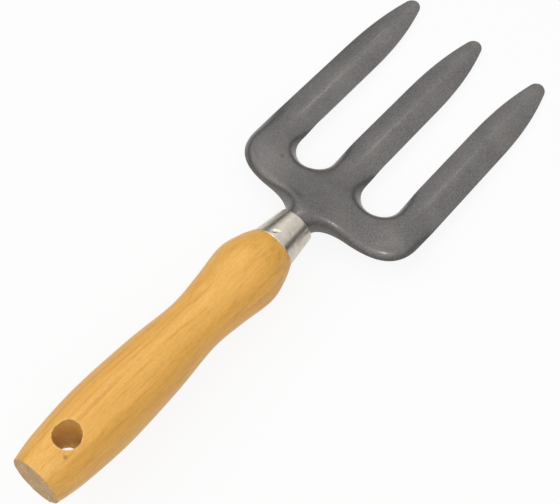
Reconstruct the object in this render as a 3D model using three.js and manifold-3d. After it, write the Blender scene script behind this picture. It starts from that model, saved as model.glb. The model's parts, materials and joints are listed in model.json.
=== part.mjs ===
// Hand fork: a pressed steel head with three tines, welded to a steel tang that is driven into a
// turned wooden handle through a conical ferrule. Millimetres, +Z up.
// The tool is drawn along its own axis (butt end at x = 0, tine tips at +X) and then laid on the
// ground plane z = 0, back of the head upwards, resting on the grip's front swell and the tine tips.
import * as THREE from "three";
import { mergeVertices } from "three/addons/utils/BufferGeometryUtils.js";
import Module from "manifold-3d";

const wasm = await Module();
wasm.setup();

// ---- driving dimensions ----------------------------------------------------------------------
const FIT_GAP = 0.3; // between two pieces that touch

// handle, along the tool's axis from the butt end
const HANDLE_LENGTH = 150; // butt end to the shoulder that the ferrule stands against
const BUTT_RADIUS = 12.9;
const BUTT_EDGE = 0.8; // rounding of the butt's rim
const BELLY_X = 40; // thickest place of the grip
const BELLY_RADIUS = 16.7;
const WAIST_SETBACK = 52.5; // slimmest place of the grip, behind the shoulder
const WAIST_RADIUS = 13.2;
const BULB_SETBACK = 18; // swell in front of the hand, behind the shoulder
const BULB_RADIUS = 16.7;
const TENON_LENGTH = 8; // of the wood that stands inside the ferrule
const HANG_HOLE_X = 20.1;
const HANG_HOLE_RADIUS = 6.5;
const HANG_HOLE_TURN = 3.4; // degrees about the tool's axis: the hole is drilled a little off upright

// ferrule
const FERRULE_LENGTH = 16.5;
const FERRULE_BASE_RADIUS = 11.3;
const FERRULE_MOUTH_RADIUS = 9.1;
const FERRULE_WALL = 1.2;
const CRIMP_X = 3.4; // punched crimp, from the ferrule's base
const CRIMP_RADIUS = 1.4;
const CRIMP_DEPTH = 0.6;

// head
const SHEET = 2; // thickness of the pressed sheet
const HEAD_LENGTH = 133.2; // ferrule's mouth to tine tips
const NECK_INSERT = 8; // of the neck inside the ferrule
const PALM_BACK_X = 7.7; // back edge of the palm, in front of the ferrule's mouth
const CORNER = 19.5; // length of the shoulders' rounding
const GULLET_X = 28; // bottom of the two gaps, in front of the ferrule's mouth
const TINE_PITCH_ROOT = 39;
const TINE_PITCH_TIP = 37.6;
const TINE_WIDTH_ROOT = 19.1;
const TINE_WIDTH_TAPER = 18.5; // where the point begins
const POINT_LENGTH = 46; // of the tapering end of a tine
const TIP_RADIUS = 4.2;
const TINE_RISE = 2.2; // crest of a tine above its edges
const PALM_RISE = 3.6; // palm above its edges
const ARCH = 0.4; // outer tines below the middle one
const EDGE_Z_ROOT = -1.8; // upper edge of the rim at the gaps
const EDGE_Z_TIP = 0.3; // and at the tips
const PALM_RIM = 5.5; // width over which the palm rolls down to its rim
const CROWN_WIDTH = 18; // how far the neck's crown spreads over the palm

// tang
const TANG_DEPTH = 62; // of the tang inside the grip, behind the shoulder
const TANG_TAIL_RADIUS = 3;
const TANG_POINT = 5; // length of the tail's point
const TANG_NOSE = 4.6; // of the tang in front of the ferrule's mouth
const TANG_NOSE_ROUND = 2.5; // length of the nose's rounding
const WELD_LEG = 2.6;
const WELD_RUN_OUT = 3; // from the end of a bead to the tang's nose

// ---- sizes that follow -----------------------------------------------------------------------
const WAIST_X = HANDLE_LENGTH - WAIST_SETBACK;
const BULB_X = HANDLE_LENGTH - BULB_SETBACK;
const MOUTH_X = HANDLE_LENGTH + FIT_GAP + FERRULE_LENGTH;
const FERRULE_SLOPE = (FERRULE_BASE_RADIUS - FERRULE_MOUTH_RADIUS) / FERRULE_LENGTH;
const NECK_RADIUS = FERRULE_MOUTH_RADIUS - FERRULE_WALL - FIT_GAP;
const NECK_EDGE_Z = -0.6; // lower lip of the neck's channel
const TANG_RADIUS = NECK_RADIUS - SHEET - FIT_GAP;
const TENON_END_X = HANDLE_LENGTH + TENON_LENGTH;
const NECK_START_X = MOUTH_X - NECK_INSERT;
const GULLET_RADIUS = (TINE_PITCH_ROOT - TINE_WIDTH_ROOT) / 2;
const ROOT_X = MOUTH_X + GULLET_X + GULLET_RADIUS; // where the tines leave the palm
const TIP_X = MOUTH_X + HEAD_LENGTH;
const POINT_X = TIP_X - POINT_LENGTH;

// ---- helpers ---------------------------------------------------------------------------------
const { lerp, smoothstep } = THREE.MathUtils;

function solidOf(geometry) {
  const plain = geometry.clone();
  plain.deleteAttribute("normal");
  plain.deleteAttribute("uv");
  const merged = mergeVertices(plain, 1e-4);
  return new wasm.Manifold(
    new wasm.Mesh({
      numProp: 3,
      vertProperties: merged.attributes.position.array,
      triVerts: new Uint32Array(merged.index.array),
    }),
  );
}

function geometryOf(solid) {
  const mesh = solid.getMesh();
  const geometry = new THREE.BufferGeometry();
  geometry.setAttribute("position", new THREE.BufferAttribute(mesh.vertProperties, 3));
  geometry.setIndex(new THREE.BufferAttribute(mesh.triVerts, 1));
  return geometry;
}

// Solid of revolution about the tool's axis, from [x, radius] points that start and end at radius 0
// or close on themselves.
function turned(points, sides) {
  const profile = points.map(([x, radius]) => new THREE.Vector2(radius, x));
  return new THREE.LatheGeometry(profile, sides).rotateZ(-Math.PI / 2);
}

const ferruleRadius = (x) => FERRULE_BASE_RADIUS - FERRULE_SLOPE * (x - HANDLE_LENGTH - FIT_GAP);

// ---- handle ----------------------------------------------------------------------------------
const HANDLE_SIDES = 48;
const GRIP_STEPS = 32;
const TANG_SIDES = 20;
const SHOULDER_STEP = 0.3; // of the wood above the ferrule's base

function gripOutline() {
  const shoulder = FERRULE_BASE_RADIUS + SHOULDER_STEP;
  const grip = new THREE.SplineCurve([
    new THREE.Vector2(BUTT_EDGE, BUTT_RADIUS),
    new THREE.Vector2(lerp(0, BELLY_X, 0.35), lerp(BUTT_RADIUS, BELLY_RADIUS, 0.58)),
    new THREE.Vector2(BELLY_X, BELLY_RADIUS),
    new THREE.Vector2(lerp(BELLY_X, WAIST_X, 0.55), lerp(BELLY_RADIUS, WAIST_RADIUS, 0.35)),
    new THREE.Vector2(WAIST_X, WAIST_RADIUS),
    new THREE.Vector2(lerp(WAIST_X, BULB_X, 0.5), lerp(WAIST_RADIUS, BULB_RADIUS, 0.38)),
    new THREE.Vector2(BULB_X, BULB_RADIUS),
    new THREE.Vector2(lerp(BULB_X, HANDLE_LENGTH, 0.6), lerp(BULB_RADIUS, shoulder, 0.42)),
    new THREE.Vector2(HANDLE_LENGTH, shoulder),
  ]);
  return grip.getPoints(GRIP_STEPS).map((p) => [p.x, p.y]);
}

// Outline of the tang, or of its bore in the grip when a gap is given.
function tangOutline(gap) {
  const tailX = HANDLE_LENGTH - TANG_DEPTH;
  const noseX = MOUTH_X + TANG_NOSE;
  return [
    [tailX - gap, 0],
    [tailX + TANG_POINT, TANG_TAIL_RADIUS + gap],
    [TENON_END_X, TANG_RADIUS + gap],
    [noseX - TANG_NOSE_ROUND, TANG_RADIUS + gap],
    [noseX - TANG_NOSE_ROUND * 0.3, TANG_RADIUS * 0.75 + gap],
    [noseX + gap, TANG_RADIUS * 0.4 + gap],
    [noseX + gap, 0],
  ];
}

// The bump that the crimp pushes into the tenon, or its dent in the tenon when a gap is given.
function crimpBump(gap) {
  const x = HANDLE_LENGTH + FIT_GAP + CRIMP_X;
  const inner = ferruleRadius(x) - FERRULE_WALL;
  const ball = new THREE.SphereGeometry(CRIMP_RADIUS + gap, 16, 10);
  return ball.translate(x, 0, inner - CRIMP_DEPTH + CRIMP_RADIUS);
}

function handle() {
  const tenonRadius = (x) => ferruleRadius(x) - FERRULE_WALL - FIT_GAP;
  const body = turned(
    [
      [0, 0],
      [0, BUTT_RADIUS - BUTT_EDGE],
      ...gripOutline(),
      [HANDLE_LENGTH, tenonRadius(HANDLE_LENGTH)],
      [TENON_END_X, tenonRadius(TENON_END_X)],
      [TENON_END_X, 0],
    ],
    HANDLE_SIDES,
  );
  const hangHole = new THREE.CylinderGeometry(HANG_HOLE_RADIUS, HANG_HOLE_RADIUS, 3 * BELLY_RADIUS, 32)
    .rotateX(Math.PI / 2 + THREE.MathUtils.degToRad(HANG_HOLE_TURN))
    .translate(HANG_HOLE_X, 0, 0);
  return geometryOf(
    solidOf(body)
      .subtract(solidOf(hangHole))
      .subtract(solidOf(turned(tangOutline(FIT_GAP), TANG_SIDES)))
      .subtract(solidOf(crimpBump(FIT_GAP))),
  );
}

// ---- ferrule: a drawn conical sleeve, fixed to the tenon by one punched crimp ------------------
function ferrule() {
  const base = HANDLE_LENGTH + FIT_GAP;
  const edge = 0.3;
  const sleeve = turned(
    [
      [base, FERRULE_BASE_RADIUS - FERRULE_WALL],
      [base, FERRULE_BASE_RADIUS],
      [MOUTH_X - edge, ferruleRadius(MOUTH_X - edge)],
      [MOUTH_X, FERRULE_MOUTH_RADIUS - edge],
      [MOUTH_X, FERRULE_MOUTH_RADIUS - FERRULE_WALL],
      [base, FERRULE_BASE_RADIUS - FERRULE_WALL],
    ],
    HANDLE_SIDES,
  );
  const crimpX = base + CRIMP_X;
  const dimple = new THREE.SphereGeometry(CRIMP_RADIUS, 16, 10).translate(
    crimpX,
    0,
    ferruleRadius(crimpX) + CRIMP_RADIUS - CRIMP_DEPTH,
  );
  return geometryOf(solidOf(sleeve).add(solidOf(crimpBump(0))).subtract(solidOf(dimple)));
}

// ---- tang and its two weld beads ---------------------------------------------------------------
const tang = () => turned(tangOutline(0), TANG_SIDES);

// A fillet of weld in the corner between the neck's lip and the tang, on one side (+1 or -1).
function tangWeld(side) {
  const top = NECK_EDGE_Z - 1.5 * FIT_GAP;
  const low = top - WELD_LEG;
  const tangSide = (z) => Math.sqrt((TANG_RADIUS + FIT_GAP) ** 2 - z ** 2);
  const fillet = new THREE.Shape();
  fillet.moveTo(side * (NECK_RADIUS - FIT_GAP), top);
  for (let i = 0; i <= 4; i++) {
    const z = lerp(top, low, i / 4);
    fillet.lineTo(side * tangSide(z), z);
  }
  fillet.quadraticCurveTo(side * NECK_RADIUS * 0.82, low + 1, side * (NECK_RADIUS - FIT_GAP), top);
  const length = MOUTH_X + TANG_NOSE - WELD_RUN_OUT - NECK_START_X;
  const acrossToAlong = new THREE.Matrix4().makeBasis(
    new THREE.Vector3(0, 1, 0),
    new THREE.Vector3(0, 0, 1),
    new THREE.Vector3(1, 0, 0),
  );
  return new THREE.ExtrudeGeometry(fillet, { depth: length, bevelEnabled: false, curveSegments: 5 })
    .applyMatrix4(acrossToAlong)
    .translate(NECK_START_X, 0, 0);
}

// ---- fork head -----------------------------------------------------------------------------------
// One pressed sheet. Its plan is a grid of rows: along the neck, across the palm up to the gaps,
// and then along each of the three tines. Its height follows from the distance to the rim.
const TINES = [1, 0, -1];
const ACROSS_TINE = [-1, -0.82, -0.45, 0, 0.45, 0.82, 1]; // shares of a tine's half width
const GULLET_STEPS = 6;
const NECK_ROWS = 3;
const PALM_ROWS = 14;

const alongTine = (x) => (x - ROOT_X) / (TIP_X - ROOT_X);
const tineCentre = (tine, x) => tine * lerp(TINE_PITCH_ROOT, TINE_PITCH_TIP, alongTine(x));

function tineHalfWidth(x) {
  const root = TINE_WIDTH_ROOT / 2;
  const shoulder = TINE_WIDTH_TAPER / 2;
  if (x < POINT_X) return lerp(root, shoulder, (x - ROOT_X) / (POINT_X - ROOT_X));
  const share = (x - POINT_X) / (POINT_LENGTH - TIP_RADIUS * 0.7);
  return lerp(shoulder, TIP_RADIUS * 0.95, share ** 2.5);
}

// The line across the roots of the tines: straight over each tine, round a gullet between two.
function rootLine() {
  const line = [];
  for (const tine of TINES) {
    const middle = tineCentre(tine, ROOT_X);
    for (const share of ACROSS_TINE)
      line.push(new THREE.Vector2(ROOT_X, middle - (share * TINE_WIDTH_ROOT) / 2));
    if (tine === -1) break;
    const gullet = middle - TINE_PITCH_ROOT / 2;
    for (let i = 1; i < GULLET_STEPS; i++) {
      const angle = (Math.PI * i) / GULLET_STEPS;
      line.push(
        new THREE.Vector2(
          ROOT_X - GULLET_RADIUS * Math.sin(angle),
          gullet + GULLET_RADIUS * Math.cos(angle),
        ),
      );
    }
  }
  return line;
}

// The palm's left edge, from the ferrule's mouth round the shoulder to the outer tine.
function palmEdge() {
  const back = MOUTH_X + PALM_BACK_X;
  const outer = TINE_PITCH_ROOT + TINE_WIDTH_ROOT / 2;
  const point = (x, y) => new THREE.Vector2(x, y);
  const edge = new THREE.CurvePath();
  edge.add(
    new THREE.CubicBezierCurve(
      point(MOUTH_X, NECK_RADIUS),
      point(MOUTH_X + PALM_BACK_X * 0.5, NECK_RADIUS),
      point(back - 0.4, outer * 0.27),
      point(back, outer * 0.46),
    ),
  );
  edge.add(
    new THREE.CubicBezierCurve(
      point(back, outer * 0.46),
      point(back + 0.6, outer * 0.79),
      point(back + CORNER * 0.3, outer),
      point(back + CORNER, outer),
    ),
  );
  edge.add(new THREE.LineCurve(point(back + CORNER, outer), point(ROOT_X, outer)));
  return edge;
}

// The rows of the palm and of the neck in plan, each from the left edge to the right one.
function palmRows() {
  const roots = rootLine();
  const edge = palmEdge();
  const last = roots.length - 1;
  const reach = ROOT_X - MOUTH_X;
  const outer = roots[0].y;
  const neckY = (i) => NECK_RADIUS * Math.cos((Math.PI * i) / last);
  const rows = [];
  for (let row = 0; row < NECK_ROWS; row++) {
    const x = lerp(NECK_START_X, MOUTH_X, row / NECK_ROWS);
    rows.push(roots.map((_, i) => new THREE.Vector2(x, neckY(i))));
  }
  for (let row = 0; row <= PALM_ROWS; row++) {
    const share = row / PALM_ROWS;
    const end = edge.getPoint(share);
    rows.push(
      roots.map((root, i) => {
        const across = lerp(neckY(i) / NECK_RADIUS, root.y / outer, smoothstep(share, 0, 0.7));
        const centre = MOUTH_X + reach * share;
        const x = end.x + (centre - end.x) * (1 - across ** 2) - (ROOT_X - root.x) * share ** 2;
        return new THREE.Vector2(x, end.y * across);
      }),
    );
  }
  return rows;
}

// The rows of one tine in front of its root, the last one round the tip.
function tineRows(tine) {
  const lastWide = TIP_X - TIP_RADIUS * 1.3;
  const straight = [0.2, 0.4, 0.6, 0.8, 1].map((share) => lerp(ROOT_X, POINT_X, share));
  const tapered = [0.2, 0.38, 0.54, 0.68, 0.8, 0.91, 1].map((share) => lerp(POINT_X, lastWide, share));
  const rows = [...straight, ...tapered].map((x) =>
    ACROSS_TINE.map((share) => new THREE.Vector2(x, tineCentre(tine, x) - share * tineHalfWidth(x))),
  );
  const tip = ACROSS_TINE.map((share) => {
    const angle = share * 1.27;
    const x = TIP_X - TIP_RADIUS * (1 - Math.cos(angle));
    return new THREE.Vector2(x, tineCentre(tine, x) - TIP_RADIUS * Math.sin(angle));
  });
  rows.push(
    tip.map((p, i) => p.clone().lerp(rows.at(-1)[i], 0.45)),
    tip,
  );
  return rows;
}

// Points of the plan, and its four-sided cells as lists of point numbers.
function headPlan() {
  const points = [];
  const cells = [];
  const place = (row) => row.map((p) => points.push(p) - 1);
  const join = (below, above) => {
    for (let i = 0; i + 1 < below.length; i++)
      cells.push([below[i], below[i + 1], above[i + 1], above[i]]);
  };
  const palm = palmRows().map(place);
  palm.slice(1).forEach((row, i) => join(palm[i], row));
  const roots = palm.at(-1);
  TINES.forEach((tine, i) => {
    const first = i * (ACROSS_TINE.length - 1 + GULLET_STEPS);
    let below = roots.slice(first, first + ACROSS_TINE.length);
    for (const row of tineRows(tine)) {
      const above = place(row);
      join(below, above);
      below = above;
    }
  });
  return { points, cells };
}

// Sides of cells that belong to one cell only, each running with the rim on its right.
function rimSides(cells) {
  const sides = new Map();
  for (const cell of cells)
    cell.forEach((from, i) => {
      const to = cell[(i + 1) % 4];
      if (!sides.delete(to + ">" + from)) sides.set(from + ">" + to, [from, to]);
    });
  return [...sides.values()];
}

// Height of the sheet's upper surface at a point of the plan whose distance to the rim is given.
function sheetHeight(p, distance) {
  const neck = 1 - smoothstep(p.x, MOUTH_X, MOUTH_X + PALM_BACK_X * 1.6);
  const tine = smoothstep(p.x, ROOT_X - GULLET_RADIUS * 1.6, ROOT_X + GULLET_RADIUS * 1.2);
  const edge = lerp(EDGE_Z_ROOT, EDGE_Z_TIP, Math.max(0, alongTine(p.x)));
  const rimZ = lerp(edge, NECK_EDGE_Z, neck);
  const crown = 1 - smoothstep(p.x, MOUTH_X, ROOT_X);
  const crownTop = (NECK_RADIUS - EDGE_Z_ROOT - PALM_RISE) * crown;
  const crownRise = crownTop * Math.exp(-((p.y / CROWN_WIDTH) ** 2));
  const inward = 1 - Math.min(1, distance / lerp(PALM_RIM, NECK_RADIUS, neck));
  const dome = (1 - inward ** lerp(2.6, 2, neck)) ** lerp(1, 0.5, neck);
  const palmHeight = lerp(PALM_RISE + crownRise, NECK_RADIUS - NECK_EDGE_Z, neck) * dome;
  const nearest = Math.max(-1, Math.min(1, Math.round(p.y / TINE_PITCH_ROOT)));
  const aside = Math.abs(p.y - tineCentre(nearest, p.x)) / (TINE_WIDTH_ROOT / 2);
  const tineHeight = TINE_RISE * (1 - Math.min(1, aside) ** 1.5);
  return rimZ - ARCH * (p.y / TINE_PITCH_ROOT) ** 2 + lerp(palmHeight, tineHeight, tine);
}

function forkHead() {
  const { points, cells } = headPlan();
  const sides = rimSides(cells);
  const isNeckEnd = ([a, b]) => points[a].x === NECK_START_X && points[b].x === NECK_START_X;
  const flat = points.map((p) => new THREE.Vector3(p.x, p.y, 0));
  const rim = sides.filter((side) => !isNeckEnd(side)).map(([a, b]) => new THREE.Line3(flat[a], flat[b]));
  const foot = new THREE.Vector3();
  const distance = (p) =>
    Math.min(...rim.map((line) => line.closestPointToPoint(p, true, foot).distanceTo(p)));
  const upper = flat.map((p) => new THREE.Vector3(p.x, p.y, sheetHeight(p, distance(p))));
  const split = cells.flatMap(([a, b, c, d]) => [a, b, c, a, c, d]);
  const skin = new THREE.BufferGeometry().setFromPoints(upper).setIndex(split);
  skin.computeVertexNormals();
  const normal = new THREE.Vector3();
  const normals = skin.attributes.normal;
  const lower = upper.map((p, i) =>
    p.clone().addScaledVector(normal.fromBufferAttribute(normals, i), -SHEET),
  );
  const count = points.length;
  const faces = [...split];
  for (let i = 0; i < split.length; i += 3) faces.push(...[0, 2, 1].map((k) => count + split[i + k]));
  for (const [a, b] of sides) faces.push(a, count + a, b, b, count + a, count + b);
  return new THREE.BufferGeometry().setFromPoints([...upper, ...lower]).setIndex(faces);
}

// ---- assembly --------------------------------------------------------------------------------------
const finish = (color, roughness, metalness) =>
  new THREE.MeshStandardMaterial({ color, roughness, metalness });

const pieces = {
  handle: [handle(), finish(0xe0ab5c, 0.45, 0)],
  ferrule: [ferrule(), finish(0xb3aca0, 0.35, 1)],
  fork_head: [forkHead(), finish(0x6e6b69, 0.5, 0.3)],
  tang: [tang(), finish(0x55524f, 0.6, 1)],
  tang_weld_left: [tangWeld(1), finish(0x4a4643, 0.6, 0.8)],
  tang_weld_right: [tangWeld(-1), finish(0x4a4643, 0.6, 0.8)],
};

const tool = new THREE.Group();
for (const [name, [geometry, material]] of Object.entries(pieces)) {
  const mesh = new THREE.Mesh(geometry, material);
  mesh.name = name;
  tool.add(mesh);
}

// Lowest corner of a piece when the tool is turned by an angle about Y.
function lowest(mesh, angle) {
  const turn = new THREE.Matrix4().makeRotationY(angle);
  const corner = new THREE.Vector3();
  let low = new THREE.Vector3(0, 0, Infinity);
  const places = mesh.geometry.attributes.position;
  for (let i = 0; i < places.count; i++) {
    corner.fromBufferAttribute(places, i).applyMatrix4(turn);
    if (corner.z < low.z) low = corner.clone();
  }
  return low;
}

// The tool's tilt when the grip and the tine tips stand on one level.
function restingTilt() {
  const [grip, tips] = ["handle", "fork_head"].map((name) => tool.getObjectByName(name));
  let tilt = 0;
  for (let i = 0; i < 12; i++) {
    const back = lowest(grip, tilt);
    const front = lowest(tips, tilt);
    tilt += Math.atan2(front.z - back.z, front.x - back.x);
  }
  return tilt;
}

const part = new THREE.Group();
part.add(tool);
tool.rotation.y = restingTilt();
const box = new THREE.Box3().setFromObject(part, true);
tool.position.set(-(box.min.x + box.max.x) / 2, 0, -box.min.z);

export default part;
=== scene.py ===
import json
import math

import bmesh
import bpy
import numpy as np
from mathutils import Matrix, Vector, noise


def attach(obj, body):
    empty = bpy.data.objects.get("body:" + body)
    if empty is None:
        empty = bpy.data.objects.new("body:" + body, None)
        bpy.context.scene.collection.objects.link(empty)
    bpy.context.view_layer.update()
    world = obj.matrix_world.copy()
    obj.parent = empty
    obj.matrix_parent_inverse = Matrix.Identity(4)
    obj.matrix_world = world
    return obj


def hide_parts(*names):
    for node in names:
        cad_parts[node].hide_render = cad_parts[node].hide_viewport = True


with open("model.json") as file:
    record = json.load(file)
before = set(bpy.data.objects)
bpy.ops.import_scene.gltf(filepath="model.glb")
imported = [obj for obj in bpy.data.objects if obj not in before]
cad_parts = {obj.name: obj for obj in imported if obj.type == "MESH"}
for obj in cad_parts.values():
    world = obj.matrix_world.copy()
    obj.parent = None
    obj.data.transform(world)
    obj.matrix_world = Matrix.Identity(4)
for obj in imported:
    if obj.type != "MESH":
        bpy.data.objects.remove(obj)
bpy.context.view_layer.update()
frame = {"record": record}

bl_info = {
    "name": "Hand Fork",
    "version": (1, 0, 0),
    "blender": (4, 5, 0),
    "location": "3D View > Sidebar > Hand Fork",
    "description": "Models a three-tine garden hand fork round its packed frame",
    "category": "Add Mesh",
}

MM = 0.001


def tool_axes():
    """The tool's own axes in the frame: X from the butt end to the tips, Z out of the back."""
    butt = next(m for m in frame["record"]["mounts"] if m["name"] == "butt_end")
    along = -Vector(butt["axis"]).normalized()
    across = Vector((0, 1, 0))
    turn = Matrix((along, across, along.cross(across))).transposed().to_4x4()
    return Matrix.Translation(Vector(butt["pos_m"])) @ turn


TOOL = tool_axes()


# ---- sizes and colours ----
def size(name, description, millimetres):
    return bpy.props.FloatProperty(
        name=name,
        description=description,
        default=millimetres * MM,
        precision=5,
        unit="LENGTH",
        subtype="DISTANCE",
    )


def colour(name, description, red, green, blue):
    """A colour property, from the red, green and blue of a paint chart (0 to 255)."""

    def linear(level):
        level /= 255
        return level / 12.92 if level <= 0.04045 else ((level + 0.055) / 1.055) ** 2.4

    return bpy.props.FloatVectorProperty(
        name=name,
        description=description,
        default=[linear(level) for level in (red, green, blue)],
        min=0,
        max=1,
        subtype="COLOR",
    )


def turn(name, description, degrees):
    return bpy.props.FloatProperty(
        name=name,
        description=description,
        default=math.radians(degrees),
        subtype="ANGLE",
        unit="ROTATION",
    )


class GripSizes(bpy.types.PropertyGroup):
    length: size("Length", "Butt end to the shoulder at the ferrule", 150)
    butt_radius: size("Butt radius", "Radius at the butt end", 12.9)
    butt_edge: size("Butt edge", "Rounding of the butt's rim", 0.8)
    belly_x: size("Belly place", "Thickest place, from the butt end", 40)
    belly_radius: size("Belly radius", "Radius at the thickest place", 16.7)
    waist_setback: size("Waist setback", "Slimmest place, behind the shoulder", 52.5)
    waist_radius: size("Waist radius", "Radius at the slimmest place", 13.2)
    bulb_setback: size("Swell setback", "Front swell, behind the shoulder", 18)
    bulb_radius: size("Swell radius", "Radius at the front swell", 16.7)
    shoulder_step: size("Shoulder step", "Wood above the ferrule's base", 0.3)
    tenon: size("Tenon", "Wood that stands inside the ferrule", 8)
    hole_x: size("Hole place", "Hanging hole, from the butt end", 20.1)
    hole_turn: turn("Hole turn", "Turn of the hanging hole about the tool's axis", 3.4)
    hole_radius: size("Hole radius", "Radius of the hanging hole", 6.5)
    hole_edge: size("Hole edge", "Rounding of the hole's rim", 0.35)
    torn: size("Torn wood", "How rough the cut edges of the wood are", 0.16)
    knot_x: size("Knot place", "Pin knot beside the hole, from the butt end", 12.7)
    knot_y: size("Knot side", "Pin knot beside the hole, left of the middle", -6.8)
    light: colour("Light wood", "Early wood under varnish", 241, 184, 85)
    dark: colour("Dark wood", "Late wood under varnish", 210, 145, 58)
    pore: colour("Pores", "Short dark vessels in the grain", 150, 98, 42)
    fibre: colour("Torn fibres", "Pale fibres along the cut edges", 244, 216, 168)
    end: colour("End grain", "Bare cut end of the wood", 206, 178, 138)
    bore: colour("Hole wall", "Drilled wood inside the hanging hole", 226, 178, 76)


class FerruleSizes(bpy.types.PropertyGroup):
    length: size("Length", "Base to mouth", 16.5)
    base_radius: size("Base radius", "Outside radius at the grip", 11.3)
    mouth_radius: size("Mouth radius", "Outside radius at the mouth", 9.1)
    wall: size("Wall", "Thickness of the sleeve", 1.2)
    edge: size("Edge", "Rounding of both ends", 0.3)
    gap: size("Fit", "Room between two pieces that touch", 0.3)
    seat: size("Seat", "Ferrule's base in front of the shoulder", 0.05)
    crimp_x: size("Crimp place", "Punched crimp, from the base", 3.4)
    crimp_radius: size("Crimp radius", "Radius of the punched crimp", 1.5)
    crimp_depth: size("Crimp depth", "Depth of the punched crimp", 0.6)
    steel: colour("Steel", "Satin plated steel", 214, 207, 195)
    worn: colour("Steel, worn", "Duller steel along the polishing lines", 193, 185, 172)
    speck: colour("Specks", "Dull specks in the steel", 128, 119, 106)


class HeadSizes(bpy.types.PropertyGroup):
    sheet: size("Sheet", "Thickness of the pressed sheet", 2)
    length: size("Length", "Ferrule's mouth to the tine tips", 133.2)
    neck_insert: size("Neck insert", "Neck inside the ferrule", 8)
    palm_back: size("Palm's back", "Back edge of the palm, from the mouth", 7.7)
    corner: size("Corner", "Length of the shoulders' rounding", 19.5)
    gullet: size("Gaps", "Bottom of the gaps, from the mouth", 28)
    pitch_root: size("Pitch at the roots", "Between two tines at the palm", 39)
    pitch_tip: size("Pitch at the tips", "Between two tines at their tips", 37.6)
    width_root: size("Width at the roots", "Width of a tine at the palm", 19.1)
    width_taper: size("Width at the points", "Width where the point begins", 18.5)
    point: size("Points", "Length of a tine's tapering end", 46)
    tip_radius: size("Tip radius", "Rounding of a tine's tip", 4.2)
    tine_rise: size("Tine crest", "Crest of a tine above its edges", 2.2)
    palm_rise: size("Palm rise", "Palm above its edges", 3.6)
    arch: size("Arch", "Outer tines below the middle one", 0.4)
    edge_root: size("Edge at the roots", "Height of the rim at the gaps", -1.8)
    edge_tip: size("Edge at the tips", "Height of the rim at the tips", 0.3)
    edge_neck: size("Edge at the neck", "Height of the neck's lips", -0.6)
    palm_rim: size("Palm's rim", "Width over which the palm rolls down", 5.5)
    crown: size("Crown", "How far the neck's crown spreads", 18)
    gap_roll: size("Gap roll", "Depth of the sheet's roll into the gaps", 1.6)
    gap_rim: size("Gap rim", "Width of the sheet's roll into the gaps", 3.2)
    soft_edge: size("Soft edge", "Rounding of the sheet's edges", 0.4)
    paint: colour("Paint", "Baked paint", 99, 96, 94)
    fleck: colour("Flecks", "Lighter flecks in the paint", 150, 146, 142)
    # Painted shadow: a near-black colour that stands in for the shade on the neck just in front of the
    # ferrule's mouth.
    painted_mouth_shadow: colour("Painted shadow", "Dark line against the ferrule's mouth", 30, 28, 26)
    shade: colour("Shade", "Darker paint between the flecks", 68, 65, 64)
    bare: colour("Scuffs", "Scuffed paint", 160, 156, 150)


class TangSizes(bpy.types.PropertyGroup):
    depth: size("Depth", "Tang inside the grip", 62)
    tail_radius: size("Tail radius", "Radius at the tail", 3)
    tail_point: size("Tail point", "Length of the tail's point", 5)
    nose: size("Nose", "Tang in front of the ferrule's mouth", 4.6)
    nose_round: size("Nose rounding", "Length of the nose's rounding", 2.5)
    bead: size("Weld bead", "Radius of the weld beads", 1.5)
    ripple: size("Weld ripple", "Length of one ripple of the beads", 1.1)
    steel: colour("Steel", "Painted bar", 92, 89, 86)
    weld: colour("Weld", "Weld metal under paint", 84, 80, 77)


class StageSizes(bpy.types.PropertyGroup):
    floor: size("Floor", "Side of the floor", 8000)
    place: bpy.props.FloatVectorProperty(
        name="Camera place",
        description="Where the camera stands",
        default=(-0.2522, -0.2856, 0.7751),
        unit="LENGTH",
        subtype="TRANSLATION",
    )
    aim: bpy.props.FloatVectorProperty(
        name="Camera aim",
        description="Point on the floor that the camera looks at",
        default=(0.0066, 0.0015, 0),
        unit="LENGTH",
        subtype="TRANSLATION",
    )
    roll: turn("Camera roll", "How far the camera leans to the right", 7.92)
    lens: bpy.props.FloatProperty(
        name="Lens",
        description="Focal length in millimetres on a 36 mm sensor",
        default=122.1,
        unit="CAMERA",
    )
    ground: colour("Floor", "Pale floor", 236, 236, 236)


# ---- modelling helpers ----
def lerp(start, end, share):
    return start + (end - start) * share


def smoothstep(x, low, high):
    share = np.clip((x - low) / (high - low), 0, 1)
    return share * share * (3 - 2 * share)


def start_piece(name, add, **settings):
    """A primitive in edit mode, with nothing else selected."""
    if bpy.context.object and bpy.context.object.mode != "OBJECT":
        bpy.ops.object.mode_set(mode="OBJECT")
    bpy.ops.object.select_all(action="DESELECT")
    add(**settings)
    piece = bpy.context.object
    piece.name = piece.data.name = name
    bpy.ops.object.transform_apply(location=True, rotation=True, scale=True)
    bpy.ops.object.mode_set(mode="EDIT")
    return piece


def edit(piece):
    return bmesh.from_edit_mesh(piece.data)


def pick(piece, kind, test):
    """Selects the vertices, edges or faces that pass a test, and nothing else."""
    bpy.ops.mesh.select_all(action="DESELECT")
    modes = {"verts": "VERT", "edges": "EDGE", "faces": "FACE"}
    bpy.ops.mesh.select_mode(type=modes[kind])
    mesh = edit(piece)
    for element in getattr(mesh, kind):
        element.select_set(bool(test(element)))
    mesh.select_flush_mode()
    bmesh.update_edit_mesh(piece.data)


def place_selected(piece, place):
    """Moves each selected vertex to the place that a function gives for it."""
    mesh = edit(piece)
    for vertex in mesh.verts:
        if vertex.select:
            vertex.co = place(vertex.co)
    bmesh.update_edit_mesh(piece.data)


def close_shell(piece):
    bpy.ops.mesh.select_all(action="SELECT")
    bpy.ops.mesh.remove_doubles(threshold=1e-6)
    bpy.ops.mesh.normals_make_consistent(inside=False)
    bpy.ops.object.mode_set(mode="OBJECT")


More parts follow.
